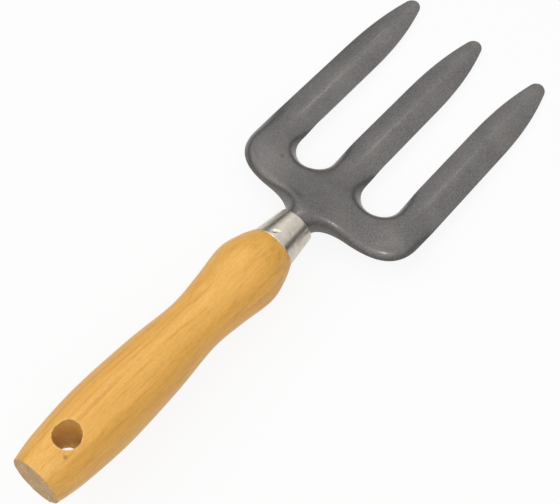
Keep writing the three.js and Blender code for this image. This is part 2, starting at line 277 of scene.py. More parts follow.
def finish_piece(piece, material, slot, *nodes, sharp=50):
    """Lays a piece that was modelled in the tool's axes in the frame, and hands it over."""
    bpy.ops.object.select_all(action="DESELECT")
    piece.select_set(True)
    bpy.context.view_layer.objects.active = piece
    bpy.ops.object.shade_smooth_by_angle(angle=math.radians(sharp))
    piece.matrix_world = TOOL
    bpy.ops.object.transform_apply(location=True, rotation=True, scale=True)
    piece.data.materials.clear()
    piece.data.materials.append(material)
    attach(piece, "root")
    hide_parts(*nodes)


def apply(piece, kind, **settings):
    modifier = piece.modifiers.new(kind.title(), kind)
    for name, value in settings.items():
        setattr(modifier, name, value)
    bpy.context.view_layer.objects.active = piece
    bpy.ops.object.modifier_apply(modifier=modifier.name)


def turned(name, outline, sides):
    """A piece turned about the tool's axis: a ring extruded and resized along [x, radius] points."""
    (x, radius), *rest = outline
    piece = start_piece(
        name,
        bpy.ops.mesh.primitive_circle_add,
        vertices=sides,
        radius=radius,
        location=(x, 0, 0),
        rotation=(0, math.pi / 2, 0),
    )
    bpy.ops.mesh.select_all(action="SELECT")
    for new_x, new_radius in rest:
        bpy.ops.mesh.extrude_region_move(TRANSFORM_OT_translate={"value": (new_x - x, 0, 0)})
        growth = new_radius / radius
        bpy.ops.transform.resize(value=(1, growth, growth), center_override=(new_x, 0, 0))
        x, radius = new_x, new_radius
    return piece


def close_ends(piece, *ends):
    """Closes open ends of a turned piece: each ring at (x, radius) gets a face of its own."""
    for x, radius in ends:
        pick(
            piece,
            "edges",
            lambda e: e.is_boundary
            and all(
                abs(v.co.x - x) < 1e-6 and abs(v.co.yz.length - radius) < 1e-5 for v in e.verts
            ),
        )
        bpy.ops.mesh.edge_face_add()
        bpy.ops.mesh.poke()


# ---- shader maths ----
IS_CAMERA_RAY, IS_GLOSSY_RAY, IS_TRANSMISSION_RAY = 0, 3, 6  # outputs of a Light Path node
GENERATED, OBJECT = 0, 3  # outputs of a Texture Coordinate node


class Wire:
    """A node's output. Arithmetic on it adds Math nodes."""

    def __init__(self, paint, socket):
        self.paint = paint
        self.socket = socket

    def maths(self, operation, *values):
        return self.paint.node("ShaderNodeMath", {"operation": operation}, *values)

    def __add__(self, other):
        return self.maths("ADD", self, other)

    def __radd__(self, other):
        return self.maths("ADD", other, self)

    def __sub__(self, other):
        return self.maths("SUBTRACT", self, other)

    def __rsub__(self, other):
        return self.maths("SUBTRACT", other, self)

    def __mul__(self, other):
        return self.maths("MULTIPLY", self, other)

    def __rmul__(self, other):
        return self.maths("MULTIPLY", other, self)

    def below(self, level, width):
        """1 under a level and 0 over it, with a soft step of that width."""
        return self.between(level + width / 2, level - width / 2)

    def between(self, low, high):
        """0 at low and 1 at high, straight between them."""
        return self.paint.node("ShaderNodeMapRange", {"clamp": True}, self, low, high, 0, 1)


class Paint:
    """The nodes of a material or of the world."""

    def __init__(self, owner):
        self.owner = owner
        self.owner.use_nodes = True
        self.tree = self.owner.node_tree
        self.tree.nodes.clear()

    def node(self, kind, settings, *values, output=0, **named):
        """A node of a kind: its settings are set first, then its sockets get values or links."""
        made = self.tree.nodes.new(kind)
        for name, value in settings.items():
            setattr(made, name, value)
        sockets = [s for s in made.inputs if s.enabled]
        wanted = list(zip(sockets, values))
        wanted += [
            (next(s for s in made.inputs if s.enabled and s.name == name.replace("_", " ")), value)
            for name, value in named.items()
        ]
        for socket, value in wanted:
            if isinstance(value, Wire):
                self.tree.links.new(value.socket, socket)
            elif socket.type == "RGBA":
                socket.default_value = (*value[:3], 1)
            else:
                socket.default_value = value
        outputs = [s for s in made.outputs if s.enabled]
        return Wire(self, outputs[output])

    def tool_place(self):
        """Where a point lies in the tool's own axes, in metres."""
        back = TOOL.inverted()
        place = self.node("ShaderNodeTexCoord", {}, output=OBJECT)
        return self.node(
            "ShaderNodeMapping", {}, place, back.to_translation(), back.to_euler(), (1, 1, 1)
        )

    def noise(self, place, scale, detail=2.0, roughness=0.5, distortion=0.0):
        values = {"Scale": scale, "Detail": detail, "Roughness": roughness, "Distortion": distortion}
        return self.node("ShaderNodeTexNoise", {"noise_dimensions": "3D"}, place, **values)

    def grained(self, place, along, across, *settings):
        """Noise with this many lumps to a metre along the tool's axis, and across it."""
        scales = (along, across, across)
        scaled = self.node("ShaderNodeVectorMath", {"operation": "MULTIPLY"}, place, scales)
        return self.noise(scaled, 1.0, *settings)

    def mix(self, share, first, second):
        return self.node(
            "ShaderNodeMix", {"data_type": "RGBA", "clamp_factor": True}, share, first, second
        )

    def bump(self, height, strength, distance):
        return self.node(
            "ShaderNodeBump", {}, Strength=strength, Distance=distance, Height=height
        )

    def surface(self, **values):
        self.output(self.node("ShaderNodeBsdfPrincipled", {}, **values))

    def seen(self):
        """1 where a ray comes from the camera, straight or by way of metal or glass."""
        camera = self.node("ShaderNodeLightPath", {}, output=IS_CAMERA_RAY)
        glossy = self.node("ShaderNodeLightPath", {}, output=IS_GLOSSY_RAY)
        through = self.node("ShaderNodeLightPath", {}, output=IS_TRANSMISSION_RAY)
        return camera + glossy + through

    def output(self, shader):
        kind = "ShaderNodeOutputMaterial"
        if isinstance(self.owner, bpy.types.World):
            kind = "ShaderNodeOutputWorld"
        made = self.tree.nodes.new(kind)
        self.tree.links.new(shader.socket, made.inputs["Surface"])


# ---- grip ----
GRIP_SIDES = 72
HOLE_HALF = 8  # columns and rows of the grip's skin on each side of the hanging hole
HOLE_ROW = 1.2 * MM
BACK_ROWS, FRONT_ROWS = 8, 72  # rows of the skin behind the hole and in front of it
CURVE_STEPS = 25  # points between two of the outline's places
TORN_ALONG, TORN_ACROSS = 400, 900  # lumps of torn wood to a metre


def grip_outline(grip, ferrule):
    """The grip's outline as a function of x: a smooth curve through its sizes."""
    waist_x = grip.length - grip.waist_setback
    bulb_x = grip.length - grip.bulb_setback
    shoulder = ferrule.base_radius + grip.shoulder_step
    points = [
        (grip.butt_edge, grip.butt_radius),
        (lerp(0, grip.belly_x, 0.35), lerp(grip.butt_radius, grip.belly_radius, 0.58)),
        (grip.belly_x, grip.belly_radius),
        (lerp(grip.belly_x, waist_x, 0.55), lerp(grip.belly_radius, grip.waist_radius, 0.35)),
        (waist_x, grip.waist_radius),
        (lerp(waist_x, bulb_x, 0.5), lerp(grip.waist_radius, grip.bulb_radius, 0.38)),
        (bulb_x, grip.bulb_radius),
        (lerp(bulb_x, grip.length, 0.6), lerp(grip.bulb_radius, shoulder, 0.42)),
        (grip.length, shoulder),
    ]
    p = np.array([points[0], *points, points[-1]])
    curve = []
    for i in range(1, len(p) - 2):
        for t in np.linspace(0, 1, CURVE_STEPS)[: None if i == len(p) - 3 else -1]:
            leave, arrive = (p[i + 1] - p[i - 1]) / 2, (p[i + 2] - p[i]) / 2
            curve.append(
                (2 * p[i] - 2 * p[i + 1] + leave + arrive) * t**3
                + (3 * p[i + 1] - 3 * p[i] - 2 * leave - arrive) * t**2
                + leave * t
                + p[i]
            )
    curve = np.array(curve)
    return lambda x: float(np.interp(x, curve[:, 0], curve[:, 1]))


def tang_outline(tang, grip, ferrule, head, room):
    """The tang's outline from its tail, or its bore's when some room is given."""
    mouth = grip.length + ferrule.gap + ferrule.length
    radius = ferrule.mouth_radius - ferrule.wall - 2 * ferrule.gap - head.sheet
    tail = grip.length - tang.depth
    nose = mouth + tang.nose
    rounding = tang.nose_round
    return [
        (tail - room, 0.2 * MM),
        (tail + 0.35 * tang.tail_point, 0.6 * tang.tail_radius + room),
        (tail + tang.tail_point, tang.tail_radius + room),
        (grip.length + grip.tenon, radius + room),
        (nose - rounding, radius + room),
        (nose - 0.65 * rounding, 0.93 * radius + room),
        (nose - 0.3 * rounding, 0.75 * radius + room),
        (nose - 0.1 * rounding, 0.56 * radius + room),
        (nose + room, 0.4 * radius + room),
    ]


def wood():
    """Pale wood under a thin yellow varnish, bare where it was cut across."""
    grip = bpy.context.scene.hand_fork_grip
    paint = Paint(bpy.data.materials.new("varnished_wood"))
    place = paint.tool_place()
    x, y, z = (paint.node("ShaderNodeSeparateXYZ", {}, place, output=k) for k in range(3))
    flow = paint.grained(place, 14, 45, 2)
    bend = (flow - 0.5) * (6 * MM)
    waved = paint.node("ShaderNodeCombineXYZ", {}, x, y + bend, z + bend)
    broad = paint.grained(waved, 9, 120, 3)
    streak = paint.grained(waved, 13, 520, 4, 0.62)
    thread = paint.grained(waved, 70, 1900, 3, 0.65)
    vessel = paint.grained(waved, 300, 2700, 2)
    mottle = paint.grained(place, 500, 1300, 3, 0.7)
    grain = (broad * 0.3 + streak * 0.5 + thread * 0.35).between(0.44, 0.74)
    lines = streak.between(0.54, 0.66)
    pores = vessel.between(0.5, 0.74) * streak.between(0.35, 0.6)
    skin = paint.mix(grain * 0.5 + lines * 0.28, grip.light, grip.dark)
    skin = paint.mix(mottle.between(0.35, 0.75) * 0.4, skin, grip.dark)
    skin = paint.mix(pores * 0.24, skin, grip.pore)
    top = paint.node("ShaderNodeCombineXYZ", {}, x - grip.knot_x, y - grip.knot_y, z.below(0, MM))
    knot = paint.node("ShaderNodeVectorMath", {"operation": "LENGTH"}, top)
    knot = knot.below(0.85 * MM, 0.6 * MM) * mottle.between(0.2, 0.5)
    skin = paint.mix(knot * 0.75, skin, grip.pore)
    # Distance from the hanging hole's axis, and from the butt end.
    lean = math.tan(grip.hole_turn)
    aside = paint.node("ShaderNodeCombineXYZ", {}, x - grip.hole_x, y + z * lean, 0.0)
    away = paint.node("ShaderNodeVectorMath", {"operation": "LENGTH"}, aside)
    ragged = paint.grained(place, 700, 1100, 3, 0.75)
    in_hole = (away + (ragged - 0.5) * (0.7 * MM)).below(grip.hole_radius + 0.08 * MM, 0.2 * MM)
    at_rim = paint.node("ShaderNodeMath", {"operation": "ABSOLUTE"}, away - grip.hole_radius)
    rim = at_rim.below(0.75 * MM, 0.5 * MM) * ragged.between(0.5, 0.6)
    edge = x + (ragged - 0.5) * (2.2 * MM)
    butt = edge.below(0.35 * MM, 0.3 * MM)
    seam = butt * (1 - edge.below(-0.3 * MM, 0.5 * MM))
    cells = paint.noise(place, 2300.0, 3, 0.7)
    rings = paint.grained(place, 1, 210, 3, 0.6, 0.6)
    end_grain = paint.mix(cells.between(0.35, 0.72) * 0.6, grip.end, grip.dark)
    end_grain = paint.mix(rings.between(0.45, 0.62) * 0.4, end_grain, grip.fibre)
    bore = paint.mix(ragged.between(0.45, 0.7) * 0.6, grip.bore, grip.pore)
    base = paint.mix(butt, skin, end_grain)
    base = paint.mix(seam * ragged.between(0.45, 0.6) * 0.6, base, grip.pore)
    base = paint.mix(in_hole, base, bore)
    base = paint.mix(rim * 0.55, base, grip.fibre)
    bare = butt + in_hole
    relief = grain * -0.35 + pores * -1.0 + cells * bare * 2.0 + mottle * 0.5
    paint.surface(
        Base_Color=base,
        Roughness=0.46 + 0.1 * grain + 0.3 * bare,
        Coat_Weight=(1 - bare) * 0.22,
        Coat_Roughness=0.28,
        Normal=paint.bump(relief, 0.35, 0.12 * MM),
    )
    return paint.owner


class HANDFORK_OT_grip(bpy.types.Operator):
    """Turns the wooden grip, with its hanging hole and its bore for the tang"""

    bl_idname = "handfork.grip"
    bl_label = "Grip"

    def execute(self, context):
        scene = context.scene
        grip, ferrule = scene.hand_fork_grip, scene.hand_fork_ferrule
        head, tang = scene.hand_fork_head, scene.hand_fork_tang
        radius_at = grip_outline(grip, ferrule)
        tenon_end = grip.length + grip.tenon

        def tenon_radius(x):
            slope = (ferrule.base_radius - ferrule.mouth_radius) / ferrule.length
            outside = ferrule.base_radius - slope * (x - grip.length - ferrule.gap)
            return outside - ferrule.wall - ferrule.gap

        block = (grip.hole_x - HOLE_HALF * HOLE_ROW, grip.hole_x + HOLE_HALF * HOLE_ROW)
        rounding = [math.radians(a) for a in (0, 22.5, 45, 67.5, 90)]
        rim = [
            (
                grip.butt_edge * (1 - math.sin(a)),
                grip.butt_radius - grip.butt_edge * (1 - math.cos(a)),
            )
            for a in reversed(rounding)
        ]
        rows = [
            *np.linspace(grip.butt_edge, block[0], BACK_ROWS)[1:-1],
            *np.linspace(*block, 2 * HOLE_HALF + 1),
            *np.linspace(block[1], grip.length, FRONT_ROWS)[1:],
        ]
        outline = [(0, share * (grip.butt_radius - grip.butt_edge)) for share in (0.03, 0.5, 0.85)]
        outline += rim
        outline += [(x, radius_at(x)) for x in rows]
        outline += [(grip.length, tenon_radius(grip.length)), (tenon_end, tenon_radius(tenon_end))]
        bore = tang_outline(tang, grip, ferrule, head, ferrule.gap)[:4]
        outline += reversed(bore)
        piece = turned("grip", outline, GRIP_SIDES)
        close_ends(piece, outline[0], outline[-1])
        self.cut_hole(piece, grip, radius_at, block)
        self.tear_edges(piece, grip)
        close_shell(piece)
        finish_piece(piece, wood(), "varnished_wood", "handle")
        return {"FINISHED"}

    def cut_hole(self, piece, grip, radius_at, block):
        """Opens the hanging hole: the skin's squares round it are drawn in to a circle."""
        half_turn = HOLE_HALF * 2 * math.pi / GRIP_SIDES
        lean = Matrix.Rotation(grip.hole_turn, 3, "X")
        for up in (1, -1):

            def in_block(face):
                x, y, z = face.calc_center_median()
                on_grip = math.hypot(y, z) > 0.8 * grip.butt_radius
                turned_by = math.atan2(y, z * up)
                return on_grip and block[0] < x < block[1] and abs(turned_by) < half_turn

            pick(piece, "faces", in_block)
            bpy.ops.mesh.delete(type="FACE")
            pick(piece, "edges", lambda e: e.is_boundary and e.verts[0].co.z * up > 0)
            outer = grip.hole_radius + grip.hole_edge

            def skin(along, aside):
                return up * math.sqrt(radius_at(grip.hole_x + along) ** 2 - aside**2)

            def upright(place):
                """A place worked out in the hole's own axes, which lean a little."""
                return lambda co: lean @ place(lean.inverted() @ co)

            def draw_in(share):
                def place(co):
                    along, aside = co.x - grip.hole_x, co.y
                    reach = math.hypot(along, aside)
                    scale = lerp(reach, outer, share) / reach
                    along, aside = along * scale, aside * scale
                    return Vector((grip.hole_x + along, aside, skin(along, aside)))

                return place

            def roll_in(angle):
                def place(co):
                    along, aside = co.x - grip.hole_x, co.y
                    reach = math.hypot(along, aside)
                    rim = skin(along * outer / reach, aside * outer / reach)
                    inner = outer - grip.hole_edge * math.sin(angle)
                    drop = grip.hole_edge * (1 - math.cos(angle))
                    scale = inner / reach
                    return Vector((grip.hole_x + along * scale, aside * scale, rim - up * drop))

                return place

            steps = [draw_in(share) for share in (0.22, 0.3, 0.42, 0.6, 1)]
            steps += [roll_in(math.radians(angle)) for angle in (22.5, 45, 67.5, 90)]
            for place in steps:
                bpy.ops.mesh.extrude_region_move()
                place_selected(piece, upright(place))
        pick(piece, "edges", lambda e: e.is_boundary)
        bpy.ops.mesh.bridge_edge_loops(number_cuts=14, interpolation="LINEAR")

    def tear_edges(self, piece, grip):
        """Roughens the butt's rim and the hole's rims, where the tool cut across the wood."""
        mesh = edit(piece)
        for vertex in mesh.verts:
            x, y, z = vertex.co
            reach = math.hypot(x - grip.hole_x, y + z * math.tan(grip.hole_turn))
            at_butt = max(0, 1 - abs(x) / (2 * grip.butt_edge))
            at_butt *= float(smoothstep(math.hypot(y, z), 0.8 * grip.butt_radius, grip.butt_radius))
            at_hole = max(0, 1 - abs(reach - grip.hole_radius) / (2.2 * grip.hole_edge))
            if math.hypot(y, z) < 0.75 * grip.butt_radius:
                at_hole *= 0.3
            rough = max(at_butt, at_hole)
            if rough > 0:
                lump = Vector((x * TORN_ALONG, y * TORN_ACROSS, z * TORN_ACROSS))
                shake = noise.noise_vector(lump)
                vertex.co += shake * rough * grip.torn * 2
        bmesh.update_edit_mesh(piece.data)


# ---- ferrule ----
FERRULE_SIDES, FERRULE_ROWS = 120, 44
DENT_ALONG, DENT_ASIDE = 0.66, 0.75  # the dents lie about 49 degrees from the tool's axis


def ferrule_steel():
    """Satin plated steel with faint polishing lines round it and a few dull specks."""
    ferrule = bpy.context.scene.hand_fork_ferrule
    paint = Paint(bpy.data.materials.new("ferrule_steel"))
    place = paint.tool_place()
    lines = paint.grained(place, 3600, 160, 3, 0.6)
    cloud = paint.noise(place, 300.0, 4, 0.6)
    speck = paint.noise(place, 1700.0, 2).between(0.62, 0.72)
    tone = (lines * 0.35 + cloud * 0.65).between(0.36, 0.66)
    base = paint.mix(tone, ferrule.steel, ferrule.worn)
    base = paint.mix(speck * 0.35, base, ferrule.speck)
    paint.surface(
        Base_Color=base,
        Metallic=1.0,
        Roughness=0.27 + 0.1 * tone,
        Normal=paint.bump(lines + cloud, 0.06, 0.04 * MM),
    )
    return paint.owner


class HANDFORK_OT_ferrule(bpy.types.Operator):
    """Draws the conical ferrule, with its rounded ends and its punched crimp"""

    bl_idname = "handfork.ferrule"
    bl_label = "Ferrule"

    def execute(self, context):
        scene = context.scene
        grip, ferrule = scene.hand_fork_grip, scene.hand_fork_ferrule
        base = grip.length + ferrule.seat
        mouth = grip.length + ferrule.gap + ferrule.length
        slope = (ferrule.base_radius - ferrule.mouth_radius) / ferrule.length

        def outside(x):
            return ferrule.mouth_radius + slope * (mouth - x)

        def inside(x):
            return outside(x) - ferrule.wall

        edge = ferrule.edge
        outline = [(base, inside(base)), (base, outside(base) - edge)]
        for angle in (30, 60, 90):
            a = math.radians(angle)
            x = base + edge * (1 - math.cos(a))
            outline.append((x, outside(x) - edge * (1 - math.sin(a))))
        outline += [(x, outside(x)) for x in np.linspace(base + edge, mouth - edge, FERRULE_ROWS)[1:]]
        for angle in (30, 60, 90):
            a = math.radians(angle)
            x = mouth - edge * (1 - math.sin(a))
            outline.append((x, outside(x) - edge * (1 - math.cos(a))))
        outline += [(x, inside(x)) for x in np.linspace(mouth, base, FERRULE_ROWS + 1)[:-1]]
        piece = turned("ferrule_sleeve", outline, FERRULE_SIDES)
        pick(piece, "edges", lambda e: e.is_boundary)
        bpy.ops.mesh.bridge_edge_loops()
        mesh = edit(piece)
        for vertex in mesh.verts:
            x, y, z = vertex.co
            if z < 0:
                continue
            for along, aside, length, width, depth in self.dents(ferrule):
                ahead, beside = x - base - along, y - aside
                lengthways = (DENT_ALONG * ahead - DENT_ASIDE * beside) / length
                sideways = (DENT_ASIDE * ahead + DENT_ALONG * beside) / width
                vertex.co.z -= depth * math.exp(-2 * (lengthways**2 + sideways**2))
        close_shell(piece)
        finish_piece(piece, ferrule_steel(), "ferrule_steel", "ferrule")
        return {"FINISHED"}

    def dents(self, ferrule):
        """Each dent's place along and across the top, its length, width and depth."""
        size, depth = ferrule.crimp_radius, ferrule.crimp_depth
        return (
            (ferrule.crimp_x, 0, 1.3 * size, 0.6 * size, 0.45 * depth),
            (ferrule.crimp_x - 0.6 * size, 0.5 * size, 0.5 * size, 0.4 * size, 0.35 * depth),
            (ferrule.crimp_x + 2.8 * size, -3.2 * size, 0.5 * size, 0.45 * size, 0.35 * depth),
        )


# ---- fork head ----
ACROSS = 14  # cells across a tine
GULLET_STEPS = 16
NECK_ROWS = 6
PALM_ROWS = 36
STRAIGHT_ROWS = 14
TAPER_ROWS = 22
TINES = (1, 0, -1)
EDGE_STEPS = 120
TIP_SWEEP = 1.27  # radians of a tip's rounding, to each side of its middle


class HeadPlan:
    """Places on the pressed head, in the tool's axes."""

    def __init__(self, head, grip, ferrule):
        self.head = head
        self.mouth = grip.length + ferrule.gap + ferrule.length
        self.neck_radius = ferrule.mouth_radius - ferrule.wall - ferrule.gap
        self.gullet_radius = (head.pitch_root - head.width_root) / 2
        self.root = self.mouth + head.gullet + self.gullet_radius
        self.tip = self.mouth + head.length
        self.point = self.tip - head.point
        self.neck_start = self.mouth - head.neck_insert
        self.outer = head.pitch_root + head.width_root / 2

    def along_tine(self, x):
        return (x - self.root) / (self.tip - self.root)

    def tine_centre(self, tine, x):
        head = self.head
        return tine * lerp(head.pitch_root, head.pitch_tip, self.along_tine(x))

    def half_width(self, x):
        head = self.head
        root, shoulder = head.width_root / 2, head.width_taper / 2
        if x < self.point:
            return lerp(root, shoulder, (x - self.root) / (self.point - self.root))
        share = (x - self.point) / (head.point - head.tip_radius * 0.7)
        return lerp(shoulder, head.tip_radius * 0.95, share**2.5)

    def across_tine(self):
        return [math.sin(math.pi / 2 * t) for t in np.linspace(-1, 1, ACROSS + 1)]

    def root_line(self):
        """The line across the roots of the tines and round the gullets between them."""
        line = []
        for tine in TINES:
            middle = self.tine_centre(tine, self.root)
            line += [
                (self.root, middle - share * self.head.width_root / 2)
                for share in self.across_tine()
            ]
            if tine == -1:
                break
            gullet = middle - self.head.pitch_root / 2
            for i in range(1, GULLET_STEPS):
                angle = math.pi * i / GULLET_STEPS
                line.append(
                    (
                        self.root - self.gullet_radius * math.sin(angle),
                        gullet + self.gullet_radius * math.cos(angle),
                    )
                )
        return np.array(line)

    def palm_edge(self):
        """The palm's left edge, from the ferrule's mouth round the shoulder to the outer tine."""
        back = self.mouth + self.head.palm_back
        corner, outer = self.head.corner, self.outer
        curves = [
            [
                (self.mouth, self.neck_radius),
                (self.mouth + self.head.palm_back * 0.5, self.neck_radius),
                (back - 0.4 * MM, outer * 0.27),
                (back, outer * 0.46),
            ],
            [
                (back, outer * 0.46),
                (back + 0.6 * MM, outer * 0.79),
                (back + corner * 0.3, outer),
                (back + corner, outer),
            ],
        ]
        line = []
        for a, b, c, d in np.array(curves):
            for t in np.linspace(0, 1, EDGE_STEPS):
                line.append(
                    a * (1 - t) ** 3 + 3 * b * t * (1 - t) ** 2 + 3 * c * t * t * (1 - t) + d * t**3
                )
        line.append(np.array((self.root, outer)))
        line = np.array(line)
        steps = np.hypot(*np.diff(line, axis=0).T)
        run = np.concatenate([[0], np.cumsum(steps)]) / steps.sum()
        return lambda share: [float(np.interp(share, run, line[:, k])) for k in (0, 1)]

    def palm_rows(self):
        """Plan of the neck and of the palm, row by row from the ferrule, each from left to right."""
        roots = self.root_line()
        edge = self.palm_edge()
        round_neck = np.cos(np.pi * np.arange(len(roots)) / (len(roots) - 1))
        rows = [
            np.column_stack(
                [
                    np.full(len(roots), lerp(self.neck_start, self.mouth, row / NECK_ROWS)),
                    self.neck_radius * round_neck,
                ]
            )
            for row in range(NECK_ROWS)
        ]
        for row in range(PALM_ROWS + 1):
            share = row / PALM_ROWS
            end_x, end_y = edge(share)
            spread = smoothstep(share, 0, 0.7)
            across = lerp(round_neck, roots[:, 1] / self.outer, spread)
            centre = lerp(self.mouth, self.root, share)
            x = end_x + (centre - end_x) * (1 - across**2)
            x = x - (self.root - roots[:, 0]) * share**2
            rows.append(np.column_stack([x, end_y * across]))
        return rows

    def tine_rows(self, tine):
        """Plan of a tine, row by row from its root, each from left to right."""
        tip_radius = self.head.tip_radius
        last_wide = self.tip - tip_radius * 1.3
        shares = np.linspace(0, 1, TAPER_ROWS + 1)[1:]
        stations = [*np.linspace(self.root, self.point, STRAIGHT_ROWS + 1)[1:]]
        stations += [lerp(self.point, last_wide, 1 - (1 - s) ** 1.3) for s in shares]
        across = np.array(self.across_tine())
        rows = []
        for x in stations:
            y = self.tine_centre(tine, x) - across * self.half_width(x)
            rows.append(np.column_stack([np.full(len(across), x), y]))
        angle = across * TIP_SWEEP
        x = self.tip - tip_radius * (1 - np.cos(angle))
        y = [self.tine_centre(tine, each) for each in x] - tip_radius * np.sin(angle)
        end = np.column_stack([x, y])
        rows += [lerp(rows[-1], end, share) for share in (0.3, 0.55, 0.75, 0.9, 1)]
        return rows

    def heights(self, places, distance):
        """Height of the sheet's upper surface over places in plan."""
        head = self.head
        x, y = places.T
        neck = 1 - smoothstep(x, self.mouth, self.mouth + head.palm_back * 1.6)
        reach = self.gullet_radius
        tine = smoothstep(x, self.root - reach * 1.6, self.root + reach * 1.2)
        edge = lerp(head.edge_root, head.edge_tip, np.maximum(0, self.along_tine(x)))
        rim = lerp(edge, head.edge_neck, neck)
        crown = 1 - smoothstep(x, self.mouth, self.root)
        crown_top = (self.neck_radius - head.edge_root - head.palm_rise) * crown
        crown_rise = crown_top * np.exp(-((y / head.crown) ** 2))
        roll = lerp(head.palm_rim, self.neck_radius, neck)
        inward = 1 - np.minimum(1, distance / roll)
        dome = (1 - inward ** lerp(2.6, 2, neck)) ** lerp(1, 0.5, neck)
        palm = lerp(head.palm_rise + crown_rise, self.neck_radius - head.edge_neck, neck) * dome
        nearest = np.clip(np.round(y / head.pitch_root), -1, 1)
        middle = nearest * lerp(head.pitch_root, head.pitch_tip, self.along_tine(x))
        aside = np.minimum(1, np.abs(y - middle) / (head.width_root / 2))
        crest = head.tine_rise * (1 - np.hypot(aside, 0.12) ** 1.4)
        near_gap = smoothstep(self.outer - np.abs(y), 0.5 * head.width_root, head.width_root)
        near_gap *= smoothstep(x, self.root - 1.8 * reach, self.root - 1.2 * reach)
        near_gap *= 1 - smoothstep(x, self.root, self.root + 1.5 * reach)
        rolled = head.gap_roll * near_gap * np.maximum(0, 1 - distance / head.gap_rim) ** 2
        return rim - head.arch * (y / head.pitch_root) ** 2 + lerp(palm, crest, tine) - rolled


def distance_to(places, starts, ends):
    """Distance in plan from each place to the nearest of some straight sides."""
    run = ends - starts
    span = (run**2).sum(1)
    gap = places[:, None] - starts[None]
    share = np.clip((gap * run).sum(2) / span, 0, 1)
    return np.hypot(*np.moveaxis(gap - share[..., None] * run, 2, 0)).min(1)


def baked_paint(mouth):
    """Dark warm grey baked paint with metal flakes, a little scuffed, and with a painted shadow
    darkening it against the ferrule's mouth.
    """
    head = bpy.context.scene.hand_fork_head
    paint = Paint(bpy.data.materials.new("painted_steel"))
    place = paint.tool_place()
    x = paint.node("ShaderNodeSeparateXYZ", {}, place)
    cloud = paint.noise(place, 60.0, 3)
    fleck = paint.noise(place, 1500.0, 3, 0.7)
    grit = paint.noise(place, 3600.0, 1)
    light = fleck.between(0.5, 0.72) * 0.6 + grit.between(0.55, 0.75) * 0.3
    base = paint.mix(fleck.below(0.45, 0.2) * 0.55, head.paint, head.shade)
    base = paint.mix(light * 0.6, base, head.fleck)
    base = paint.mix(cloud.between(0.4, 0.75) * 0.2, base, head.fleck)
    scratch = paint.grained(place, 60, 1500, 2, 0.5, 0.4)
    patch = paint.noise(place, 38.0, 2).between(0.58, 0.68)
    scuff = scratch.between(0.67, 0.71) * patch
    base = paint.mix(scuff * 0.7, base, head.bare)
    # Painted shadow: within about a millimetre of the ferrule's mouth the paint turns nearly black,
    # standing in for the shade there.
    base = paint.mix(x.below(mouth + 0.7 * MM, 1.0 * MM) * 0.9, base, head.painted_mouth_shadow)
    relief = fleck + grit * 0.5 - scuff * 0.6
    paint.surface(
        Base_Color=base,
        Metallic=0.45,
        Roughness=0.38 + 0.12 * fleck,
        Coat_Weight=0.5,
        Coat_Roughness=0.15,
        Normal=paint.bump(relief, 0.35, 0.06 * MM),
    )
    return paint.owner


class HANDFORK_OT_head(bpy.types.Operator):
    """Presses the head: a sheet drawn out into a neck and three tines, then given its thickness"""

    bl_idname = "handfork.head"
    bl_label = "Fork head"

    def execute(self, context):
        scene = context.scene
        head = scene.hand_fork_head
        plan = HeadPlan(head, scene.hand_fork_grip, scene.hand_fork_ferrule)
        rows = plan.palm_rows()
        columns = len(rows[0])
        piece = start_piece(
            "pressed_head",
            bpy.ops.mesh.primitive_grid_add,
            x_subdivisions=len(rows) - 1,
            y_subdivisions=columns - 1,
            size=1,
        )
        bpy.ops.mesh.select_all(action="SELECT")

        def to_plan(co):
            row = round((co.x + 0.5) * (len(rows) - 1))
            column = round((0.5 - co.y) * (columns - 1))
            return Vector((*rows[row][column], 0))

        place_selected(piece, to_plan)
        self.draw_tines(piece, plan)
        self.press(piece, plan)
        bpy.ops.mesh.select_all(action="SELECT")
        bpy.ops.mesh.normals_make_consistent(inside=False)
        mesh = edit(piece)
        mesh.faces.ensure_lookup_table()
        if mesh.faces[0].normal.z < 0:
            bpy.ops.mesh.flip_normals()
        bpy.ops.object.mode_set(mode="OBJECT")
        apply(piece, "SOLIDIFY", thickness=head.sheet, offset=-1, use_quality_normals=True)
        apply(
            piece,
            "BEVEL",
            width=head.soft_edge,
            segments=3,
            limit_method="ANGLE",
            angle_limit=math.radians(50),
        )
        finish_piece(piece, baked_paint(plan.mouth), "painted_steel", "fork_head", sharp=60)
        return {"FINISHED"}

    def draw_tines(self, piece, plan):
        """Extrudes each tine out of the palm's front edge, row by row."""
        for tine in TINES:
            middle = plan.tine_centre(tine, plan.root)
            half = plan.head.width_root / 2 + 1e-6

            def at_root(edge):
                return all(
                    abs(v.co.x - plan.root) < 1e-6 and abs(v.co.y - middle) < half
                    for v in edge.verts
                )

            pick(piece, "edges", at_root)
            for row in plan.tine_rows(tine):
                bpy.ops.mesh.extrude_region_move()
                mesh = edit(piece)
                fresh = sorted((v for v in mesh.verts if v.select), key=lambda v: -v.co.y)
                for vertex, (x, y) in zip(fresh, row):
                    vertex.co = (x, y, 0)
                bmesh.update_edit_mesh(piece.data)

    def press(self, piece, plan):
        """Lifts the flat sheet into its pressed shape."""
        mesh = edit(piece)
        rim = [e for e in mesh.edges if e.is_boundary]
        rim = [e for e in rim if any(v.co.x > plan.neck_start + 1e-6 for v in e.verts)]
        starts, ends = (np.array([e.verts[k].co.xy for e in rim]) for k in (0, 1))
        places = np.array([v.co.xy for v in mesh.verts])
        heights = plan.heights(places, distance_to(places, starts, ends))
        for vertex, height in zip(mesh.verts, heights):
            vertex.co.z = height
        bmesh.update_edit_mesh(piece.data)


# ---- tang and welds ----
TANG_SIDES = 48
BEAD_SIDES, BEAD_STEPS = 20, 60


